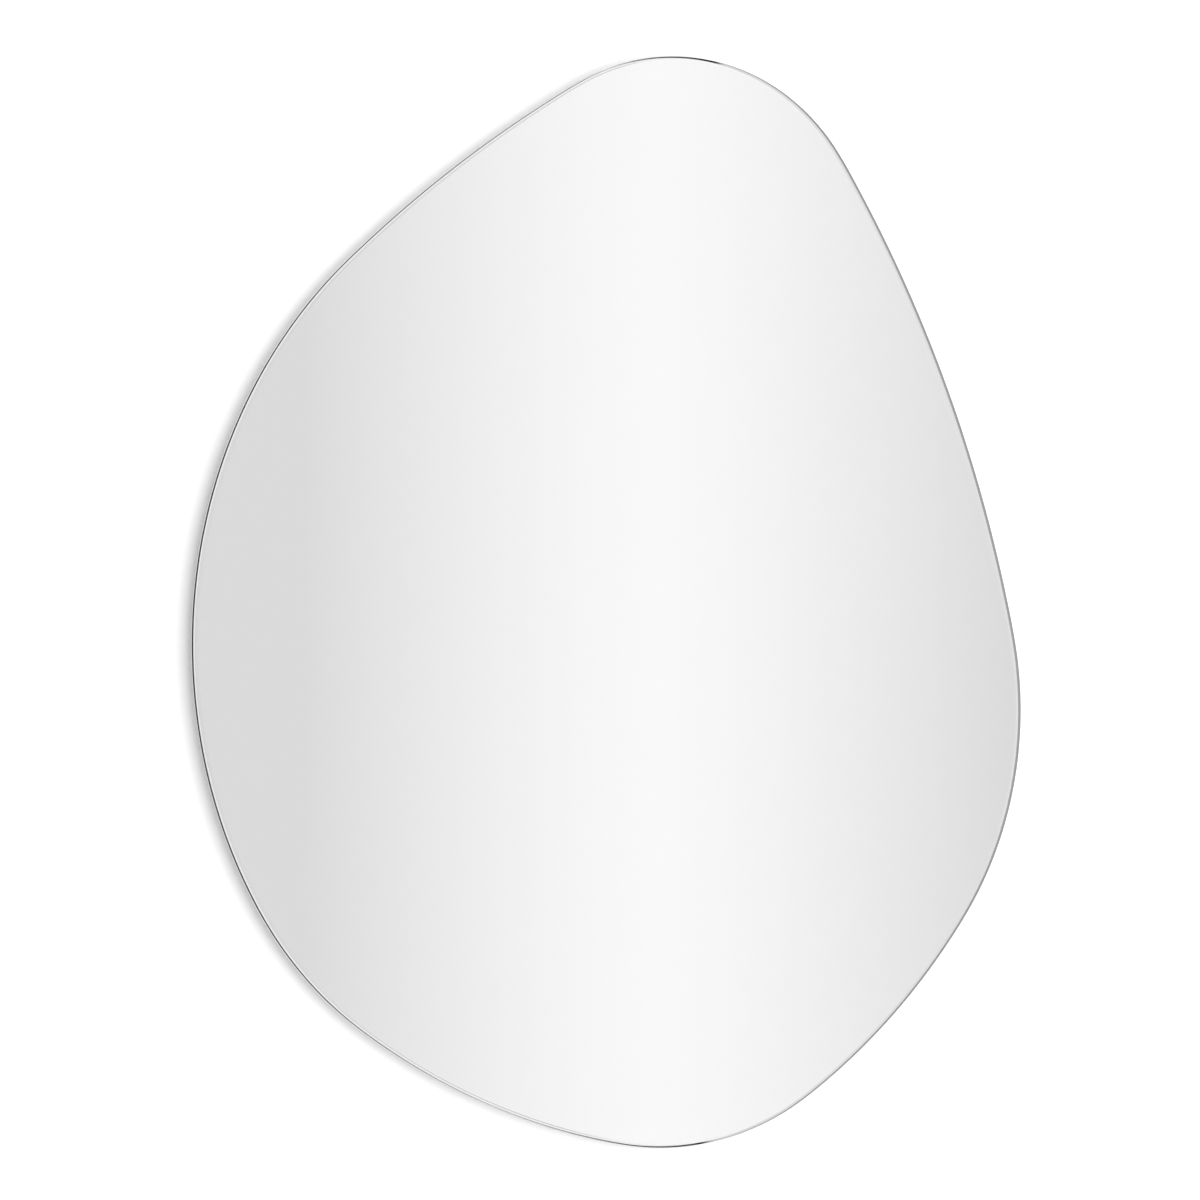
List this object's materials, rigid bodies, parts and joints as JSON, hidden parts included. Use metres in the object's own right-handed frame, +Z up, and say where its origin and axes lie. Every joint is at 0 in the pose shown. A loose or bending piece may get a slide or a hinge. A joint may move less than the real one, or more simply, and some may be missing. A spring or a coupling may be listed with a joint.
{
  "type": "irregular shaped wall mirror",
  "caption": "Frameless pebble-shaped wall mirror with a ground edge and polished front arris, backing board, rubber bumpers and D-ring hangers.",
  "frame": {"origin": "the point on the wall midway between the two wall screws, level with where they bear in the rings", "axes": "+Z up, +Y into the wall, so the mirror faces -Y, and +X to the right as someone who faces it sees it"},
  "size_m": [0.7, 0.0254, 0.7998],
  "materials": {
    "float_glass": "polished face and front arris, ground rim",
    "silvering": "bright silver seen through the glass, grey paint behind",
    "safety_film": "satin woven-backed film",
    "mdf_board": "raw fibreboard, sawn and bevelled edge",
    "foam_tape": "closed-cell foam",
    "adhesive": "cured mirror adhesive",
    "bumper_rubber": "moulded matt rubber",
    "zinc_plated_strap": "pressed sheet steel, zinc plated",
    "ring_wire": "bent steel wire, zinc plated",
    "zinc_plated_screws": "zinc plated"
  },
  "bodies": {
    "mirror": {"glass_pane": "float_glass", "silver_coating": "silvering", "safety_film": "safety_film", "backing_board": "mdf_board", "foam_tape_1": "foam_tape", "foam_tape_2": "foam_tape", "foam_tape_3": "foam_tape", "foam_tape_4": "foam_tape", "foam_tape_5": "foam_tape", "adhesive_bead_1": "adhesive", "adhesive_bead_2": "adhesive", "adhesive_bead_3": "adhesive", "adhesive_bead_4": "adhesive", "bumper_upper_left": "bumper_rubber", "bumper_upper_right": "bumper_rubber", "bumper_lower_left": "bumper_rubber", "bumper_lower_right": "bumper_rubber", "hanger_strap_left": "zinc_plated_strap", "hanger_strap_right": "zinc_plated_strap", "hanger_screws_left": "zinc_plated_screws", "hanger_screws_right": "zinc_plated_screws"},
    "ring_left": {"hanger_ring_left": "ring_wire"},
    "ring_right": {"hanger_ring_right": "ring_wire"}
  },
  "joints": [
    {"name": "ring_left_swing", "type": "hinge", "parent": "mirror", "child": "ring_left", "pos_m": [-0.15, -0.00342, -0.01298], "axis": [-1, 0, 0], "range_deg": [0, 176]},
    {"name": "ring_right_swing", "type": "hinge", "parent": "mirror", "child": "ring_right", "pos_m": [0.15, -0.00342, -0.01298], "axis": [-1, 0, 0], "range_deg": [0, 176]}
  ]
}
